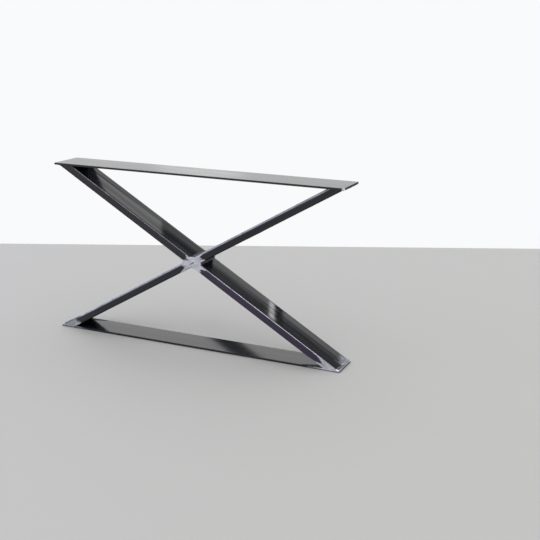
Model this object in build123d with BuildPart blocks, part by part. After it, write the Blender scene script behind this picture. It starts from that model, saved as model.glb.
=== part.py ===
from build123d import *
from math import asin, atan2, cos, hypot, sin
import os

# X-frame table leg: two flat steel plates joined by two crossing rectangular tubes, welded and ground.
# X runs along the plates, Y from front to back, Z up. The origin is on the floor, under the middle.

# Driving dimensions in millimetres
leg_height = 440.0  # floor to the face that carries the table top
leg_length = 780.0  # both plates, end to end
leg_depth = 80.0  # width of the bottom plate's flat bar and of the tube's wide side
top_plate_lip = 10.0  # how far the top plate stands out past the tubes, at front and back
plate_thickness = 5.0
plate_edge_radius = 1.0  # rolled edges of the flat bar
plate_end_chamfer = 0.5  # broken edge at the sawn ends
plate_overhang = 3.0  # plate left outside the tube's outer face, where the corner weld lies
tube_width = 20.0  # narrow side of the tube
tube_wall = 2.0
tube_corner_radius = 3.0  # outside corners of the tube
sharpest_bore_radius = 0.4  # inside corners of a tube whose wall is thicker than its corner
corner_bead_reach = 6.0  # how far a corner weld climbs the tube's outer face
corner_bead_bulge = 0.8
crossing_bead_reach = 6.0  # legs of the fillet welds inside the crossing
crossing_bead_hollow = 1.0

# Sizes that follow from them
plate_widths = {"bottom": leg_depth, "top": leg_depth + 2 * top_plate_lip}
half_length = leg_length / 2
mid_height = leg_height / 2
tube_bore_radius = max(tube_corner_radius - tube_wall, sharpest_bore_radius)
seat_run = leg_length - 2 * plate_overhang
seat_rise = leg_height - 2 * plate_thickness
slant = atan2(seat_rise, seat_run) + asin(tube_width / hypot(seat_run, seat_rise))
seat_length = tube_width / sin(slant)  # length of the slanted cut that stands on a plate
tube_reach = hypot(leg_length, leg_height)  # longer than any half tube before its ends are cut

# The tubes' axes, and the planes that cut them, each facing the side that is kept
center = Vector(0, 0, mid_height)
falling = Vector(cos(slant), 0, -sin(slant))
climbing = Vector(cos(slant), 0, sin(slant))
falling_face = Vector(sin(slant), 0, cos(slant))
long_plane = Plane(origin=center, x_dir=(0, 1, 0), z_dir=falling)
short_plane = Plane(origin=center, x_dir=(0, 1, 0), z_dir=climbing)
bottom_seat = Plane(origin=(0, 0, plate_thickness), z_dir=(0, 0, 1))
top_seat = Plane(origin=(0, 0, leg_height - plate_thickness), z_dir=(0, 0, -1))
upper_butt = Plane(origin=center + falling_face * (tube_width / 2), z_dir=falling_face)
lower_butt = Plane(origin=center - falling_face * (tube_width / 2), z_dir=-falling_face)
long_middle = Plane(origin=center, z_dir=falling_face)

os.makedirs("parts", exist_ok=True)


def keep_part(part, name):
    """Name a finished piece and write it to its own file."""
    part.label = name
    export_step(part, f"parts/{name}.step")


# Plates: sawn lengths of flat bar with rolled long edges, the top one wider than the tubes
plates = {}
for level_name, outer_height, inward in (("bottom", 0.0, 1), ("top", leg_height, -1)):
    with BuildPart() as plate:
        with BuildSketch(Plane.XY.offset(outer_height)):
            Rectangle(leg_length, plate_widths[level_name])
        extrude(amount=inward * plate_thickness)
        end_edges = plate.edges().filter_by(Axis.Y).group_by(Axis.Z)
        chamfer(end_edges[0 if inward > 0 else -1], plate_end_chamfer)
        fillet(plate.edges().filter_by(Axis.X), plate_edge_radius)
    plates[level_name] = plate.part
    keep_part(plate.part, f"{level_name}_plate")

# Diagonals: the long one is a single tube from the top plate's left end to the bottom plate's
# right end, and the other is two halves that butt against it
tube_cuts = {
    "long_diagonal": (long_plane, bottom_seat, top_seat),
    "upper_half_diagonal": (short_plane, upper_butt, top_seat),
    "lower_half_diagonal": (short_plane, lower_butt, bottom_seat),
}
bars = {}  # the tubes' outsides, without their bores, which the welds fit round
for tube_name, (section_plane, first_cut, second_cut) in tube_cuts.items():
    with BuildPart() as bar:
        with BuildSketch(section_plane):
            RectangleRounded(leg_depth, tube_width, tube_corner_radius)
        extrude(amount=tube_reach, both=True)
        split(bisect_by=first_cut, keep=Keep.TOP)
        split(bisect_by=second_cut, keep=Keep.TOP)
    bars[tube_name] = bar.part

    with BuildPart() as tube:
        add(bar.part)
        with BuildSketch(section_plane):
            RectangleRounded(leg_depth - 2 * tube_wall, tube_width - 2 * tube_wall, tube_bore_radius)
        extrude(amount=tube_reach, both=True, mode=Mode.SUBTRACT)
    keep_part(tube.part, tube_name)

# Crossing welds: hollow fillets in the four inside corners, joined round each half by weld that
# fills the tubes' rounded edges and is ground flush at front and back
crossing_corners = (
    (0, tube_width / 2 / cos(slant), (-1, 1), (1, 1)),
    (tube_width / 2 / sin(slant), 0, (1, 1), (1, -1)),
    (0, -tube_width / 2 / cos(slant), (1, -1), (-1, -1)),
    (-tube_width / 2 / sin(slant), 0, (-1, -1), (-1, 1)),
)


def fillet_toe(x, z, way):
    """The end of a fillet weld, along one of the two tubes from an inside corner."""
    along_x = way[0] * crossing_bead_reach * cos(slant)
    along_z = way[1] * crossing_bead_reach * sin(slant)
    return (x + along_x, mid_height + z + along_z)


toes = []
for corner_x, corner_z, *ways in crossing_corners:
    toes += [fillet_toe(corner_x, corner_z, way) for way in ways]

for weld_name, kept_side in (("weld_crossing_upper", Keep.TOP), ("weld_crossing_lower", Keep.BOTTOM)):
    with BuildPart() as crossing_weld:
        with BuildSketch(Plane.XZ):
            with BuildLine():
                for corner in range(4):
                    SagittaArc(toes[2 * corner], toes[2 * corner + 1], -crossing_bead_hollow)
                    Line(toes[2 * corner + 1], toes[(2 * corner + 2) % 8])
            make_face()
        extrude(amount=leg_depth / 2, both=True)
        for bar_part in bars.values():
            add(bar_part, mode=Mode.SUBTRACT)
        split(bisect_by=long_middle, keep=kept_side)
    keep_part(crossing_weld.part, weld_name)


def corner_point(side, level, inward, away):
    """A point so far inward from a plate's end, and so far away from its inner face."""
    return (side * (half_length - inward), mid_height + level * (seat_rise / 2 - away))


# Corner welds: a bead between each plate's end and the tube's outer face, run on along the
# tube's narrow sides, where it fills the rounded edges and is ground flush
corner_tubes = (
    ("bottom", "left", "lower_half_diagonal"),
    ("bottom", "right", "long_diagonal"),
    ("top", "left", "long_diagonal"),
    ("top", "right", "upper_half_diagonal"),
)
for level_name, side_name, tube_name in corner_tubes:
    side = 1 if side_name == "right" else -1
    level = 1 if level_name == "top" else -1
    toe_inward = plate_overhang + corner_bead_reach * cos(slant)
    toe_height = corner_bead_reach * sin(slant)
    root_inward = toe_inward + tube_corner_radius * sin(slant)
    root_height = toe_height - tube_corner_radius * cos(slant)
    seam_inward = plate_overhang + seat_length - tube_corner_radius / sin(slant)
    plate_toe = corner_point(side, level, 0, 0)
    tube_toe = corner_point(side, level, toe_inward, toe_height)
    with BuildPart() as corner_weld:
        with BuildSketch(Plane.XZ):
            with BuildLine():
                SagittaArc(plate_toe, tube_toe, side * level * corner_bead_bulge)
                Polyline(
                    tube_toe,
                    corner_point(side, level, root_inward, root_height),
                    corner_point(side, level, seam_inward, 0),
                    corner_point(side, level, seam_inward, -plate_edge_radius),
                    corner_point(side, level, 0, -plate_edge_radius),
                    plate_toe,
                )
            make_face()
        extrude(amount=leg_depth / 2, both=True)
        add(plates[level_name], mode=Mode.SUBTRACT)
        add(bars[tube_name], mode=Mode.SUBTRACT)
    keep_part(corner_weld.part, f"weld_{level_name}_{side_name}")
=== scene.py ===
from math import asin, atan2, cos, hypot, pi, sin, tan

import bmesh
import bpy
from mathutils import Euler, Matrix, Vector, noise


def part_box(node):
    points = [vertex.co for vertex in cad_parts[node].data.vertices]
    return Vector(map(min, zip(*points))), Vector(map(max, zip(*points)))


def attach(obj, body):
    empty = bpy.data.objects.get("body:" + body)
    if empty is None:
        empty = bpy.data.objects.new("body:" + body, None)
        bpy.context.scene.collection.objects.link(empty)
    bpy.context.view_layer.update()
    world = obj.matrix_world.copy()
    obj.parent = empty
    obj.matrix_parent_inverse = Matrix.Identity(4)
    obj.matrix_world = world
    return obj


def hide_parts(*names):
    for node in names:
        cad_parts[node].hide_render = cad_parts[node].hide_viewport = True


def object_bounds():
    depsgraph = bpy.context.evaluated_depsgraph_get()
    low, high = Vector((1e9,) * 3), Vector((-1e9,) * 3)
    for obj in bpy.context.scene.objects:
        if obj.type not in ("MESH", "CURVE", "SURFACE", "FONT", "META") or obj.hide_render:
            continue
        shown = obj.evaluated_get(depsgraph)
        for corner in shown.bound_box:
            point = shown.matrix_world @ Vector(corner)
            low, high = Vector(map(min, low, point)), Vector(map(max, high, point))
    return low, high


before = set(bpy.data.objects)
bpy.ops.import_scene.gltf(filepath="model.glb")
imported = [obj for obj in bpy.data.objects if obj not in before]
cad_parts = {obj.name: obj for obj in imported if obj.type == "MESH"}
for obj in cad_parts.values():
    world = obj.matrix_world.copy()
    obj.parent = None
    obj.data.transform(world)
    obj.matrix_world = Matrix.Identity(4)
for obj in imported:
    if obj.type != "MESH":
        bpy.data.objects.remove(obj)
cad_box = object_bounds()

# The two plates: sawn lengths of hot-rolled flat bar that keep their blue-black mill skin under
# clear lacquer. The top one is wider than the tubes. The bottom one stands on the floor, and its
# front and back edges are ground bright near the ends, where the tubes are welded on.
leg_height = cad_box[1].z
half_length = cad_box[1].x
plate_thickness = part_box("bottom_plate")[1].z
tube_half_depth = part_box("bottom_plate")[1].y

skin_dark = (0.0030, 0.0036, 0.0062, 1)
skin_light = (0.0100, 0.0115, 0.0175, 1)
# a purplish tint painted on the tubes' narrow faces, standing in for a tinted reflection
painted_reflection_violet = (0.030, 0.020, 0.048, 1)
ground_dark = (0.50, 0.50, 0.60, 1)
ground_light = (0.93, 0.95, 1.0, 1)
lacquer_ior = 1.58
glossiest = 0.10  # the lacquer's least roughness
dull_roughness = 0.45
dull_loss = 0.85  # the share of its shine that a dull place loses
narrow_shine, narrow_banding = 0.46, 0.24  # the tubes' narrow faces shine more evenly
streak_depth = 0.00008


def add_node(tree, kind, inputs=None, **settings):
    """A shader node with its settings, and with values or other nodes' sockets on its inputs."""
    node = tree.nodes.new(kind)
    for setting, value in settings.items():
        setattr(node, setting, value)
    for name, value in (inputs or {}).items():
        if isinstance(value, bpy.types.NodeSocket):
            tree.links.new(value, node.inputs[name])
        else:
            node.inputs[name].default_value = value
    return node


def calc(tree, operation, *values):
    """The result of one Math node."""
    return add_node(tree, "ShaderNodeMath", dict(enumerate(values)), operation=operation).outputs[0]


def times(tree, product, *factors):
    """The product of all these numbers."""
    for factor in factors:
        product = calc(tree, "MULTIPLY", product, factor)
    return product


def scaled(tree, value, factor, added):
    """A number times a factor, with another number added."""
    return calc(tree, "MULTIPLY_ADD", value, factor, added)


def fade(tree, value, start, end):
    """0 at start and 1 at end, with a soft step between, whichever of the two is larger."""
    limits = {"Value": value, "From Min": min(start, end), "From Max": max(start, end)}
    if start > end:
        limits.update({"To Min": 1.0, "To Max": 0.0})
    return add_node(tree, "ShaderNodeMapRange", limits, interpolation_type="SMOOTHSTEP").outputs["Result"]


def blend(tree, share, first, second):
    """A mix of two colours, or of two numbers."""
    single = isinstance(second, float) or getattr(second, "type", "") == "VALUE"
    kind, slots = ("FLOAT", (2, 3)) if single else ("RGBA", (6, 7))
    node = add_node(tree, "ShaderNodeMix", {"Factor": share}, data_type=kind)
    for place, value in zip(slots, (first, second)):
        socket = node.inputs[place]
        if isinstance(value, bpy.types.NodeSocket):
            tree.links.new(value, socket)
        else:
            socket.default_value = value
    return node.outputs[0 if single else 2]


def object_place(tree):
    """Object coordinates, which are metres from the leg's origin."""
    return add_node(tree, "ShaderNodeTexCoord").outputs["Object"]


def split_place(tree, place):
    """X, Y and Z of a place."""
    return add_node(tree, "ShaderNodeSeparateXYZ", {"Vector": place}).outputs


def along_bar(tree, climb, start=Vector()):
    """Object coordinates with X along a bar that climbs at this angle, measured from start."""
    turn = Euler((0, climb, 0))
    inputs = {"Vector": object_place(tree), "Location": -(turn.to_matrix() @ start), "Rotation": turn}
    return add_node(tree, "ShaderNodeMapping", inputs).outputs[0]


def front_and_back(tree, y, start, end):
    """0 to 1 between two depths under the tubes' front and back sides."""
    return fade(tree, calc(tree, "ABSOLUTE", y), tube_half_depth - start, tube_half_depth - end)


def grain(tree, place, per_metre, detail=2.0, seed=0.0):
    """Noise from 0 to 1, with so many lumps per metre along X, Y and Z."""
    spread = {"Vector": place, "Scale": per_metre, "Location": (seed, seed, seed)}
    spread_place = add_node(tree, "ShaderNodeMapping", spread).outputs[0]
    lumps = add_node(tree, "ShaderNodeTexNoise", {"Vector": spread_place, "Scale": 1.0, "Detail": detail})
    return fade(tree, lumps.outputs[0], 0.28, 0.72)


def steel(name, climb, ground=None, banding=0.5, relief=0.35, roughest=0.30, dull=None, painted_reflection_tint=None):
    """Lacquered mill skin with rolling streaks along a bar that climbs at this angle. Banding,
    relief and roughest say how strongly the streaks change the shine, the height and the
    roughness. The ground, dull and tint masks in the node tree say where the bar is ground bright
    or carries a painted highlight, where it is dull or, on the bottom plate, dulled as painted
    shade, and how strongly a tube's narrow faces take a purplish painted reflection tint."""
    made = bpy.data.materials.new(name)
    made.use_nodes = True
    tree = made.node_tree
    tree.nodes.clear()
    along = along_bar(tree, climb)
    streaks = grain(tree, along, (2.5, 240, 240), detail=3.0)
    threads = grain(tree, along, (9, 1300, 1300), detail=1.0, seed=4.0)
    clouds = grain(tree, along, (11, 30, 30), detail=4.0, seed=9.0)
    bands = grain(tree, along, (1.6, 95, 95), detail=6.0, seed=6.0)
    tone = scaled(tree, streaks, 0.55, times(tree, clouds, 0.45))
    colour = blend(tree, tone, skin_dark, skin_light)
    rough = scaled(tree, tone, roughest - glossiest, glossiest)
    height = scaled(tree, threads, 0.18, streaks)
    shine = scaled(tree, bands, banding, 0.5 - banding / 2)
    place = object_place(tree)
    if painted_reflection_tint:
        narrow = front_and_back(tree, split_place(tree, place)[1], 0.0030, 0.0020)
        even = scaled(tree, bands, narrow_banding, narrow_shine - narrow_banding / 2)
        shine = blend(tree, narrow, shine, even)
        # the narrow faces take a purplish tint, painted to stand in for a tinted reflection
        colour = blend(tree, times(tree, narrow, painted_reflection_tint(tree)), colour, painted_reflection_violet)
    if dull:
        dulled = dull(tree)
        shine = times(tree, shine, scaled(tree, dulled, -dull_loss, 1.0))
        rough = blend(tree, dulled, rough, dull_roughness)
    surface = {"IOR": lacquer_ior, "Metallic": 0.0, "Specular IOR Level": shine}
    if ground:
        mask = ground(tree)
        scratches = grain(tree, place, (1500, 400, 220), detail=2.0, seed=1.0)
        patches = grain(tree, place, (70, 70, 90), detail=3.0, seed=7.0)
        brightness = scaled(tree, scratches, 0.45, times(tree, patches, 0.55))
        colour = blend(tree, mask, colour, blend(tree, brightness, ground_dark, ground_light))
        rough = blend(tree, mask, rough, scaled(tree, scratches, 0.12, 0.34))
        height = blend(tree, mask, height, scaled(tree, scratches, 0.6, patches))
        surface["Metallic"] = mask
    relief_inputs = {"Strength": relief, "Distance": streak_depth, "Height": height}
    bump = add_node(tree, "ShaderNodeBump", relief_inputs)
    surface.update({"Base Color": colour, "Roughness": rough, "Normal": bump.outputs[0]})
    shader = add_node(tree, "ShaderNodeBsdfPrincipled", surface)
    add_node(tree, "ShaderNodeOutputMaterial", {"Surface": shader.outputs[0]})
    return made


def finish_node(node, material):
    """Give a carried-over piece its material."""
    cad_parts[node].data.materials.clear()
    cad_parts[node].data.materials.append(material)


left_stop = -half_length + 0.066  # where grinding stops along the bottom plate's edges
right_stop = half_length - 0.070
torn_length = 0.030  # how ragged it stops
seat_stop = half_length - 0.0425  # where a tube's seat stops on the plate
spot_radius = 0.0065


def plate_end_mask(tree):
    """1 on the bottom plate's front and back edges near its ends, and partly on its right end."""
    place = object_place(tree)
    x, y, z = split_place(tree, place)
    torn = grain(tree, place, (110, 0, 700), seed=3.0)
    torn_x = scaled(tree, torn, torn_length, calc(tree, "SUBTRACT", x, torn_length / 2))
    dashes = fade(tree, grain(tree, place, (170, 0, 0), detail=1.0, seed=2.0), 0.35, 0.60)
    left = times(tree, fade(tree, torn_x, left_stop + 0.001, left_stop), scaled(tree, dashes, 0.45, 0.15))
    under_tube = fade(tree, x, seat_stop - 0.008, seat_stop + 0.002)
    right_shine = scaled(tree, under_tube, 0.5, 0.5)  # brightest under the tube
    right = times(tree, fade(tree, torn_x, right_stop - 0.001, right_stop), right_shine)
    edge = times(tree, calc(tree, "MAXIMUM", left, right), front_and_back(tree, y, 0.0014, 0.0008))
    end = fade(tree, x, half_length - 0.0006, half_length - 0.0003)
    end = times(tree, end, fade(tree, z, 0.0032, 0.0038), 0.6)
    above_floor = fade(tree, z, 0.0012, 0.0026)
    return times(tree, calc(tree, "MAXIMUM", edge, end), above_floor)


def plate_dull_and_painted_shade_mask(tree):
    """1 on a plate's sawn ends, and on the bottom one's face just before each tube's seat, where
    the dulling is painted shade: the dark corner under the tube.
    """
    x, y, z = split_place(tree, object_place(tree))
    out = calc(tree, "ABSOLUTE", x)
    sawn = fade(tree, out, half_length - 0.0007, half_length - 0.0003)
    near_side = fade(tree, calc(tree, "ABSOLUTE", y), 0.018, 0.038)
    reach = scaled(tree, near_side, 0.045, out)  # the painted shade reaches further along the two sides
    # the face before each seat is dulled as painted shade
    heat_tint_and_painted_light = fade(tree, reach, seat_stop - 0.014, seat_stop - 0.004)
    face = fade(tree, z, plate_thickness - 0.0004, plate_thickness - 0.0002)
    lower_plate = fade(tree, z, 2 * plate_thickness, plate_thickness + 0.001)
    return calc(tree, "MAXIMUM", sawn, times(tree, face, heat_tint_and_painted_light, lower_plate))


def plate_spot_and_glint_mask(tree):
    """1 on the bare spot at the top plate's front right corner, where the weld ran out; it also
    paints the highlight on that corner.
    """
    corner = (half_length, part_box("top_plate")[0].y, leg_height - plate_thickness / 2)
    ends = {0: object_place(tree), 1: corner}
    away = add_node(tree, "ShaderNodeVectorMath", ends, operation="DISTANCE").outputs["Value"]
    return fade(tree, away, spot_radius, spot_radius - 0.0015)


top_finish = {"banding": 0.12, "relief": 0.08, "roughest": 0.20, "dull": plate_dull_and_painted_shade_mask}
bottom_finish = {"banding": 0.16, "relief": 0.10, "roughest": 0.17, "dull": plate_dull_and_painted_shade_mask}
finish_node("top_plate", steel("lacquered_flat_bar", 0.0, plate_spot_and_glint_mask, **top_finish))
finish_node("bottom_plate", steel("lacquered_flat_bar_ground_ends", 0.0, plate_end_mask, **bottom_finish))

# The diagonals: drawn 80 by 20 tube with small round corners. The long one runs from corner to
# corner, and the other is two halves butted against it. Where they cross and where they stand on
# the bottom plate, their front and back sides are ground, in tongues that run out at the corners.
tube_width = 0.020
tube_corner = 0.003
plate_overhang = 0.003
seat_run = 2 * (half_length - plate_overhang)
seat_rise = leg_height - 2 * plate_thickness
slant = atan2(seat_rise, seat_run) + asin(tube_width / hypot(seat_run, seat_rise))
middle = Vector((0, 0, leg_height / 2))
tube_tip = seat_run / 2 * cos(slant) + seat_rise / 2 * sin(slant)  # run from the middle to a tube's tip

# How far grinding runs along a tube, at its lower corner, in its middle and at its upper corner.
# On the long tube the upper-corner reaches also paint part of a highlight line in ground colour
ground_down_from_crossing = {"long": (0.042, 0.031, 0.045), "short": (0.047, 0.023, 0.029)}
ground_up_from_crossing = {"long": (0.026, 0.015, 0.031), "short": (0.037, 0.026, 0.054)}
ground_up_from_foot = {"long": (0.087, 0.040, 0.084), "short": (0.060, 0.047, 0.046)}
longest_tongue = 0.090
tongue_edge = 0.0005  # half the width of its soft edge
jagged_length = 0.012
foot_lower, foot_rest = 0.30, 0.50  # a short tube's foot is brightest along its lower edge
foot_long = 0.88
gap_below, gap_half_width, gap_half_length = 0.0010, 0.0010, 0.0070
finger_reach, finger_length, finger_strength = 0.029, 0.024, 0.35
# where a highlight line is painted along a tube's upper corner
highlight_band = {"short": (0.52, 1.02), "long": (0.76, 0.94)}  # across a tube's narrow side, 1 at its top
missed_corner = (0.80, 0.70)  # across it too, where the grinder missed the round upper corner


def tongue(tree, across, reaches):
    """How far grinding runs at a place across the tube, which is -1 to 1 from its lower corner."""
    curve = add_node(tree, "ShaderNodeFloatCurve", {"Value": scaled(tree, across, 0.5, 0.5)})
    lower, centre, upper = (reach / longest_tongue for reach in reaches)
    points = curve.mapping.curves[0].points
    points[0].location = (0, lower)
    points[1].location = (1, upper)
    between = ((0.2, 0.7 * centre + 0.3 * lower), (0.5, centre), (0.8, 0.6 * centre + 0.4 * upper))
    for place, height in between:
        points.new(place, height)
    curve.mapping.update()
    return times(tree, curve.outputs[0], longest_tongue)


def missed_gap(tree, along, climb):
    """1 in a gap at the crossing that the grinder left, along the middle of the other tube."""
    other_run, _, other_rise = split_place(tree, along_bar(tree, -climb, middle))
    wavy = scaled(tree, grain(tree, along, (300, 300, 300), seed=8.0), 0.0016, other_rise)
    beside = calc(tree, "ABSOLUTE", calc(tree, "ADD", wavy, gap_below))
    length = fade(tree, calc(tree, "ABSOLUTE", other_run), gap_half_length, gap_half_length - 0.0015)
    return times(tree, fade(tree, beside, gap_half_width + 0.0003, gap_half_width - 0.0003), length)


def rubbed_fingers(tree, along, from_tip):
    """Above 0 on fingers rubbed on the long tube's wide face, above the weld across its end."""
    _, y, rise = split_place(tree, along)
    spread = grain(tree, along, (12, 260, 12), detail=3.0, seed=3.0)
    fingers = scaled(tree, spread, finger_length, from_tip)
    fingers = fade(tree, fingers, finger_reach, finger_reach - 0.004)
    wide_face = fade(tree, rise, 0.0085, 0.0098)
    not_front = fade(tree, y, -0.014, -0.002)
    return times(tree, fingers, wide_face, not_front, finger_strength)


def painted_corner_highlight(tree, kind, along, across, down, from_tip):
    """Above 0 on a highlight line, painted in ground-bright colour along a tube's upper corner,
    in front of the leg's back side.
    """
    lowest, highest = highlight_band[kind]
    line = times(tree, fade(tree, across, lowest, lowest + 0.12), fade(tree, across, highest, 0.88))
    patchy = scaled(tree, grain(tree, along, (22, 0, 0), detail=3.0, seed=5.0), 0.30, 0.35)
    if kind == "short":  # it stops above the foot
        strength = fade(tree, from_tip, 0.045, 0.075)
    else:  # it is brighter below the crossing
        strength = scaled(tree, fade(tree, down, -0.02, 0.10), 0.95, 0.55)
    front_side = fade(tree, split_place(tree, along)[1], 0.030, 0.020)
    return times(tree, line, front_side, patchy, strength)


def tube_mask(kind, climb):
    """The mask for a tube, which is ground at the crossing and where its foot stands, and
    which carries a painted highlight line along its upper corner at the front.
    """
    foot_side = -1 if climb > 0 else 1

    def mask(tree):
        along = along_bar(tree, climb, middle)
        run, y, rise = split_place(tree, along)
        across = calc(tree, "DIVIDE", rise, tube_width / 2)
        jags = grain(tree, along, (45, 45, 620), detail=3.0, seed=2.0)
        jagged = scaled(tree, jags, jagged_length, -jagged_length / 2)
        down = scaled(tree, run, foot_side, jagged)  # towards the foot
        from_tip = calc(tree, "SUBTRACT", tube_tip, down)
        past_lower = calc(tree, "SUBTRACT", down, tongue(tree, across, ground_down_from_crossing[kind]))
        past_upper = calc(tree, "ADD", down, tongue(tree, across, ground_up_from_crossing[kind]))
        past_foot = calc(tree, "SUBTRACT", from_tip, tongue(tree, across, ground_up_from_foot[kind]))
        below_top = fade(tree, past_upper, -tongue_edge, tongue_edge)
        crossing = times(tree, fade(tree, past_lower, tongue_edge, -tongue_edge), below_top)
        foot = fade(tree, past_foot, tongue_edge, -tongue_edge)
        if kind == "short":  # the foot is only rubbed grey, and brighter along its lower edge
            foot = times(tree, foot, scaled(tree, fade(tree, rise, -0.002, -0.008), foot_lower, foot_rest))
        else:
            crossing = times(tree, crossing, scaled(tree, missed_gap(tree, along, climb), -0.9, 1.0))
            foot = times(tree, foot, foot_long)
        side = front_and_back(tree, y, 0.0020, 0.0012)
        flat = fade(tree, across, *missed_corner)
        ground = times(tree, calc(tree, "MAXIMUM", crossing, foot), side, flat)
        if kind == "long":
            ground = calc(tree, "MAXIMUM", ground, rubbed_fingers(tree, along, from_tip))
        # a highlight line painted in ground-bright colour along the upper corner
        corner_highlight = times(tree, painted_corner_highlight(tree, kind, along, across, down, from_tip), side)
        return calc(tree, "MAXIMUM", ground, corner_highlight)

    return mask


def painted_reflection_share(kind, climb):
    """How strongly a tube's narrow faces take a purplish painted reflection tint, which is
    most on the long tube's lower arm.
    """

    def share(tree):
        if kind == "short":
            return 0.04
        run = split_place(tree, along_bar(tree, climb, middle))[0]
        return scaled(tree, fade(tree, run, -0.02, 0.10), 0.85, 0.15)

    return share


def corner_dull_mask(climb):
    """1 on a tube's round lower corners, and along its upper corner at the back."""
    flat_end = tube_half_depth - tube_corner

    def mask(tree):
        _, y, rise = split_place(tree, along_bar(tree, climb, middle))
        corners = fade(tree, calc(tree, "ABSOLUTE", y), flat_end, flat_end + tube_corner / 2)
        low = times(tree, fade(tree, rise, -0.0072, -0.0088), corners)
        back_edge = fade(tree, y, flat_end - 0.0030, flat_end - 0.0010)
        high = times(tree, fade(tree, rise, 0.0060, 0.0072), back_edge)
        return calc(tree, "MAXIMUM", low, high)

    return mask


def tube_steel(name, kind, climb, banding):
    """Steel for a tube that climbs at this angle."""
    masks = {"dull": corner_dull_mask(climb), "painted_reflection_tint": painted_reflection_share(kind, climb)}
    return steel(name, climb, tube_mask(kind, climb), banding=banding, relief=0.20, roughest=0.20, **masks)


finish_node("long_diagonal", tube_steel("drawn_tube_falling", "long", -slant, 0.85))
short_tube_steel = tube_steel("drawn_tube_climbing", "short", slant, 0.6)
finish_node("upper_half_diagonal", short_tube_steel)
finish_node("lower_half_diagonal", short_tube_steel)

# The welds: beads of filler run down the inside corners of the crossing and across the plates'
# ends. Inside they keep the ripples of the puddle and a burnt skin, and at the front and back of
# the leg they are ground flush with the tubes.
burnt_dark = (0.006, 0.006, 0.008, 1)
# grey for glints painted on the burnt skin
painted_glint_grey = (0.30, 0.30, 0.32, 1)
cut_spacing = 0.0012
ripple_pitch = 0.0030
ripple_height = 0.00035
ripple_lean = 0.4
lump_height = 0.00045
lumps_per_metre = 260
full_height_out = 0.001  # how far out from the tube the ripples reach their full height
ground_margin = 0.0006  # left smooth below the front and back sides
seat_margin = 0.0003  # left smooth beside a plate
smooth_angle = 0.6


def bead_mask(tree):
    """1 on the ends of a bead, at the front and back of the leg."""
    place = object_place(tree)
    y = split_place(tree, place)[1]
    uneven = scaled(tree, grain(tree, place, (500, 0, 500)), 0.001, calc(tree, "ABSOLUTE", y))
    return fade(tree, uneven, tube_half_depth - 0.0012, tube_half_depth - 0.0004)


def bead_steel(name, rubbed, flush=1.0):
    """Weld metal with a burnt dark skin flecked with painted grey glints, rubbed to this share,
    and ground to another at its ends.
    """
    made = steel(name, 0.0, bead_mask)
    tree = made.node_tree
    inputs = tree.nodes["Principled BSDF"].inputs
    place = object_place(tree)
    _, y, z = split_place(tree, place)
    spots = grain(tree, place, (330, 230, 330), detail=4.0, seed=5.0)
    glint_spots = calc(tree, "POWER", spots, 4.0)
    reached = calc(tree, "MAXIMUM", fade(tree, z, 0.0072, 0.0058), fade(tree, y, -0.014, 0.002))
    rub = times(tree, spots, rubbed, reached)
    mask = calc(tree, "MAXIMUM", times(tree, bead_mask(tree), flush), rub)
    # the grey flecks on the burnt skin are painted glints
    heat_tint_and_painted_light = blend(tree, glint_spots, burnt_dark, painted_glint_grey)
    ground = blend(tree, spots, ground_dark, ground_light)
    tree.links.new(blend(tree, mask, heat_tint_and_painted_light, ground), inputs["Base Color"])
    tree.links.new(blend(tree, mask, scaled(tree, spots, 0.2, 0.25), 0.38), inputs["Roughness"])
    tree.links.new(blend(tree, mask, times(tree, spots, 0.3), 1.0), inputs["Metallic"])
    tree.links.new(scaled(tree, glint_spots, 0.40, 0.06), inputs["Specular IOR Level"])
    return made


def out_from_tube(point, climb):
    """How far a point lies above or below a tube that climbs at this angle."""
    from_middle = point - middle
    return abs(from_middle.z * cos(climb) - from_middle.x * sin(climb)) - tube_width / 2


burnt_bead = bead_steel("burnt_weld", 0.0)
rubbed_beads = {
    "weld_bottom_left": bead_steel("half_rubbed_weld", 0.45, 0.6),
    "weld_bottom_right": bead_steel("rubbed_weld", 0.95),
}
cuts = int(2 * tube_half_depth / cut_spacing)
for node in sorted(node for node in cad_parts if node.startswith("weld_")):
    bm = bmesh.new()
    bm.from_mesh(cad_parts[node].data)
    bmesh.ops.remove_doubles(bm, verts=bm.verts, dist=1e-6)
    for cut in range(1, cuts):
        y = -tube_half_depth + 2 * tube_half_depth * cut / cuts
        cut_all = bm.verts[:] + bm.edges[:] + bm.faces[:]
        bmesh.ops.bisect_plane(bm, geom=cut_all, plane_co=(0, y, 0), plane_no=(0, 1, 0))
    bm.normal_update()
    at_crossing = "crossing" in node
    for vertex in bm.verts:
        outside = [out_from_tube(vertex.co, climb) for climb in (slant, -slant)]
        exposed = min(outside) if at_crossing else max(outside)
        if exposed < 0.0002 or abs(vertex.co.y) > tube_half_depth - ground_margin:
            continue
        from_plate = leg_height / 2 - abs(vertex.co.z - leg_height / 2) - plate_thickness
        if not at_crossing and from_plate < seat_margin:
            continue
        phase = 2 * pi * (vertex.co.y + ripple_lean * exposed) / ripple_pitch
        ripple = ripple_height * (abs(sin(phase)) - 0.5)
        lump = lump_height * noise.noise(vertex.co * lumps_per_metre)
        vertex.co += vertex.normal * min(exposed / full_height_out, 1) * (ripple + lump)
    mesh = bpy.data.meshes.new(node + "_bead")
    bm.to_mesh(mesh)
    bm.free()
    mesh.materials.append(rubbed_beads.get(node, burnt_bead))
    mesh.shade_smooth()
    mesh.set_sharp_from_angle(angle=smooth_angle)
    bead = bpy.data.objects.new(node + "_bead", mesh)
    bpy.context.scene.collection.objects.link(bead)
    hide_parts(node)
    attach(bead, "root")

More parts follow.
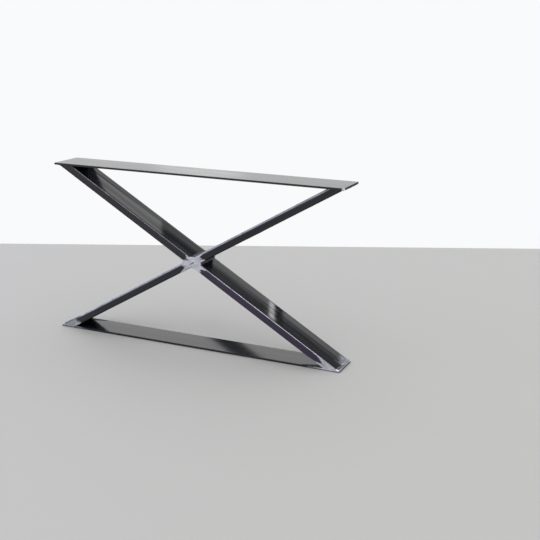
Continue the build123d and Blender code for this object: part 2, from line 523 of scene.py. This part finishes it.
# The floor, and cards that hang behind the leg, out of the camera's sight. The steel mirrors the
# cards, which gives the tubes' wide faces their light and dark zones. None is part of the leg.
azimuth, elevation, roll = 0.43508, 0.23754, 0.00966  # of the camera, which the floor faces
facing = Matrix.Rotation(azimuth, 4, "Z")
floor_behind, floor_before, floor_aside = 1.04, 3.0, 3.0
floor_colour = (0.56, 0.55, 0.535, 1)
floor_roughness = 0.65
graded_rises = (0.044, 0.081)  # above the long tube's middle line, where a graded card fades


def stage_sheet(name, corners, material):
    """A flat sheet of the stage, from its corners in order."""
    bm = bmesh.new()
    bm.faces.new([bm.verts.new(corner) for corner in corners])
    mesh = bpy.data.meshes.new(name)
    bm.to_mesh(mesh)
    bm.free()
    mesh.materials.append(material)
    sheet = bpy.data.objects.new(name, mesh)
    bpy.context.scene.collection.objects.link(sheet)
    return sheet


floor_paint = bpy.data.materials.new("pale_floor")
floor_paint.use_nodes = True
floor_inputs = floor_paint.node_tree.nodes["Principled BSDF"].inputs
floor_inputs["Base Color"].default_value = floor_colour
floor_inputs["Roughness"].default_value = floor_roughness
floor_corners = [
    (-floor_aside, -floor_before, 0), (floor_aside, -floor_before, 0),
    (floor_aside, floor_behind, 0), (-floor_aside, floor_behind, 0),
]
stage_sheet("floor", [facing @ Vector(corner) for corner in floor_corners], floor_paint)


def card_paint(name, glow, low_glow=None):
    """Paint for a card that glows evenly, or by another strength at its lower edge."""
    made = bpy.data.materials.new(name)
    made.use_nodes = True
    tree = made.node_tree
    tree.nodes.clear()
    if low_glow:
        above = split_place(tree, along_bar(tree, -slant, middle))[2]
        glow = blend(tree, fade(tree, above, *graded_rises), low_glow, glow)
    shine = add_node(tree, "ShaderNodeEmission", {"Strength": glow})
    add_node(tree, "ShaderNodeOutputMaterial", {"Surface": shine.outputs[0]})
    return made


def hang_card(name, paint, away, ends, rises, slope, shift=0.0, lean=0.0):
    """A card so far behind the leg, which follows a sloping line through the leg's middle height
    at X = shift. It has its ends along X, its lower and upper rise above that line, and how far
    its ends lean for each metre of rise."""
    centre = sum(rises) / 2
    outline = [(ends[0], rises[0]), (ends[1], rises[0]), (ends[1], rises[1]), (ends[0], rises[1])]
    corners = []
    for end, rise in outline:
        x = end + lean * (rise - centre)
        corners.append((x, away, middle.z + (x - shift) * slope + rise))
    card = stage_sheet(name, corners, paint)
    card.visible_camera = False
    card.visible_diffuse = False
    card.visible_shadow = False


light_paint = card_paint("light_graded_card", 0.12, 1.25)
card_paints = (
    card_paint("graded_card", 0.06, 0.80), light_paint,
    card_paint("bright_card", 3.2), card_paint("black_card", 0.04), light_paint,
)
card_ends = (-0.11, 0.022, 0.206, 0.220, 0.244, 0.42)  # along X, one card after the other
for number, paint in enumerate(card_paints):
    ends = card_ends[number:number + 2]
    hang_card(f"card_{number + 1}", paint, 0.12, ends, (0.048, 0.125), -tan(slant), lean=0.86)
dark_paint = card_paint("dark_card", 0.03)
hang_card("card_6", dark_paint, 0.21, (-0.09, 0.22), (-0.016, 0.040), tan(slant), shift=0.246)

# The light: an even white surround. The steel mirrors it as a studio that is bright behind the
# leg, dark overhead and dim in front, with one soft lamp there, a bluish window on the left and a
# small glint at the back.
camera_sees = (0.95, 0.955, 0.965, 1)
surround = (0.98, 0.99, 1.0, 1)
window_colour = (1.5, 1.7, 2.5, 1)
back_glow, low_extra, glint_extra = 0.95, 0.14, 0.40
front_high_glow, front_low_glow = 0.12, 0.75
overhead_glow = 0.10
lamp_glow = 2.6
studio = bpy.data.worlds.new("studio")
bpy.context.scene.world = studio
studio.use_nodes = True
sky = studio.node_tree
sky.nodes.clear()
direction = add_node(sky, "ShaderNodeTexCoord").outputs["Generated"]
_, north, upward = split_place(sky, direction)


def lamp_patch(centre, radius_cosine, softness):
    """1 inside a round patch of the sky."""
    ends = {0: direction, 1: Vector(centre).normalized()}
    near = add_node(sky, "ShaderNodeVectorMath", ends, operation="DOT_PRODUCT").outputs["Value"]
    return fade(sky, near, radius_cosine - softness, radius_cosine)


behind = fade(sky, north, -0.15, 0.35)
overhead = fade(sky, upward, 0.62, 0.88)
back_light = scaled(sky, fade(sky, upward, 0.32, 0.18), low_extra, back_glow)
glint = lamp_patch((-0.455, 0.875, 0.164), 0.9994, 0.0008)
back_light = scaled(sky, glint, glint_extra, back_light)
front_light = blend(sky, fade(sky, upward, 0.30, 0.05), front_high_glow, front_low_glow)
around = blend(sky, behind, front_light, back_light)
around = blend(sky, overhead, around, overhead_glow)
around = scaled(sky, lamp_patch((0.05, -0.80, 0.60), 0.955, 0.03), lamp_glow, around)
grey = {"Red": around, "Green": around, "Blue": around}
mirrored = add_node(sky, "ShaderNodeCombineColor", grey).outputs[0]
window = lamp_patch((-0.86, 0.05, 0.46), 0.79, 0.06)
mirrored = blend(sky, window, mirrored, window_colour)
ray = add_node(sky, "ShaderNodeLightPath").outputs
plain = blend(sky, ray["Is Camera Ray"], surround, camera_sees)
seen = blend(sky, ray["Is Glossy Ray"], plain, mirrored)
shining = add_node(sky, "ShaderNodeBackground", {"Color": seen, "Strength": 1.0})
add_node(sky, "ShaderNodeOutputWorld", {"Surface": shining.outputs[0]})

# The camera: a little above the leg's top and to its right, at the photo's angle
camera_place = Vector((2.48003, -4.75058, 1.8926))  # in heights of the leg
picture_width, focal_pixels = 540, 978.8
sensor_width = 36
sideways, upwards = 0.05, -0.05  # shift of the picture, as shares of its width
nearest = 0.05
camera_data = bpy.data.cameras.new("camera")
camera = bpy.data.objects.new("camera", camera_data)
bpy.context.scene.collection.objects.link(camera)
camera.location = camera_place * leg_height
back = Vector((sin(azimuth) * cos(elevation), -cos(azimuth) * cos(elevation), sin(elevation)))
right = Vector((cos(azimuth), sin(azimuth), 0))
turned = Matrix((right, back.cross(right), back)).transposed()
camera.rotation_euler = (turned @ Matrix.Rotation(roll, 3, "Z")).to_euler()
camera_data.sensor_width = sensor_width
camera_data.lens = focal_pixels * sensor_width / picture_width
camera_data.shift_x = sideways
camera_data.shift_y = upwards
camera_data.clip_start = nearest
bpy.context.scene.camera = camera
bpy.context.scene.view_settings.view_transform = "Standard"
